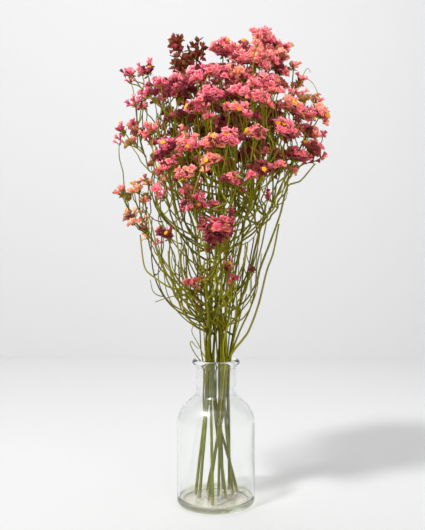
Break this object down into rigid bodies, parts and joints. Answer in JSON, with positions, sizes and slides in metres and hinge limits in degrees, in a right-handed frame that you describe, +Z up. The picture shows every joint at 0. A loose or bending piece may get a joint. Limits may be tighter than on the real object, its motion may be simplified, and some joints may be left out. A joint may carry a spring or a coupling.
{
  "type": "dried statice bouquet in a glass bottle vase",
  "caption": "Loose bouquet of dried pink statice, its green stalks gathered in the neck of a clear glass bottle vase with a rolled lip.",
  "frame": {"origin": "middle of the vase's flat foot, on the surface it stands on", "axes": "+Z up the vase, +X to the right and -Y towards the viewer of the picture"},
  "size_m": [0.2621, 0.2025, 0.5751],
  "materials": {
    "clear_glass": "smooth clear blown glass",
    "dried_stem": "matt dry olive green",
    "rose_calyx": "papery matt rose pink",
    "coral_calyx": "papery matt coral pink",
    "brown_bract": "dry matt red-brown"
  },
  "bodies": {
    "root": {"vase": "clear_glass", "stalk_01": "dried_stem", "stalk_02": "dried_stem", "stalk_03": "dried_stem", "stalk_04": "dried_stem", "stalk_05": "dried_stem", "stalk_06": "dried_stem", "stalk_07": "dried_stem", "stalk_08": "dried_stem", "stalk_09": "dried_stem", "stalk_10": "dried_stem", "stalk_11": "dried_stem", "spray_01": "coral_calyx", "spray_02": "rose_calyx", "spray_03": "coral_calyx", "spray_04": "coral_calyx", "spray_05": "coral_calyx", "spray_06": "coral_calyx", "spray_07": "rose_calyx", "spray_08": "coral_calyx", "spray_09": "rose_calyx", "spray_10": "coral_calyx", "spray_11": "coral_calyx", "spray_12": "coral_calyx", "spray_13": "coral_calyx", "spray_14": "coral_calyx", "spray_15": "rose_calyx", "spray_16": "coral_calyx", "spray_17": "rose_calyx", "spray_18": "rose_calyx", "spray_19": "rose_calyx", "spray_20": "rose_calyx", "spray_21": "rose_calyx", "spray_22": "rose_calyx", "spray_23": "brown_bract", "spray_24": "brown_bract", "spray_25": "rose_calyx", "spray_26": "rose_calyx", "spray_27": "rose_calyx", "spray_28": "rose_calyx", "spray_29": "rose_calyx", "spray_30": "rose_calyx", "spray_31": "rose_calyx", "spray_32": "rose_calyx", "spray_33": "rose_calyx", "spray_34": "rose_calyx", "spray_35": "rose_calyx", "spray_36": "coral_calyx", "spray_37": "rose_calyx", "spray_38": "rose_calyx", "spray_39": "rose_calyx", "spray_40": "rose_calyx", "spray_41": "rose_calyx", "spray_42": "coral_calyx", "spray_43": "rose_calyx", "spray_44": "coral_calyx", "spray_45": "rose_calyx", "spray_46": "rose_calyx", "spray_47": "coral_calyx", "spray_48": "rose_calyx"}
  },
  "joints": []
}
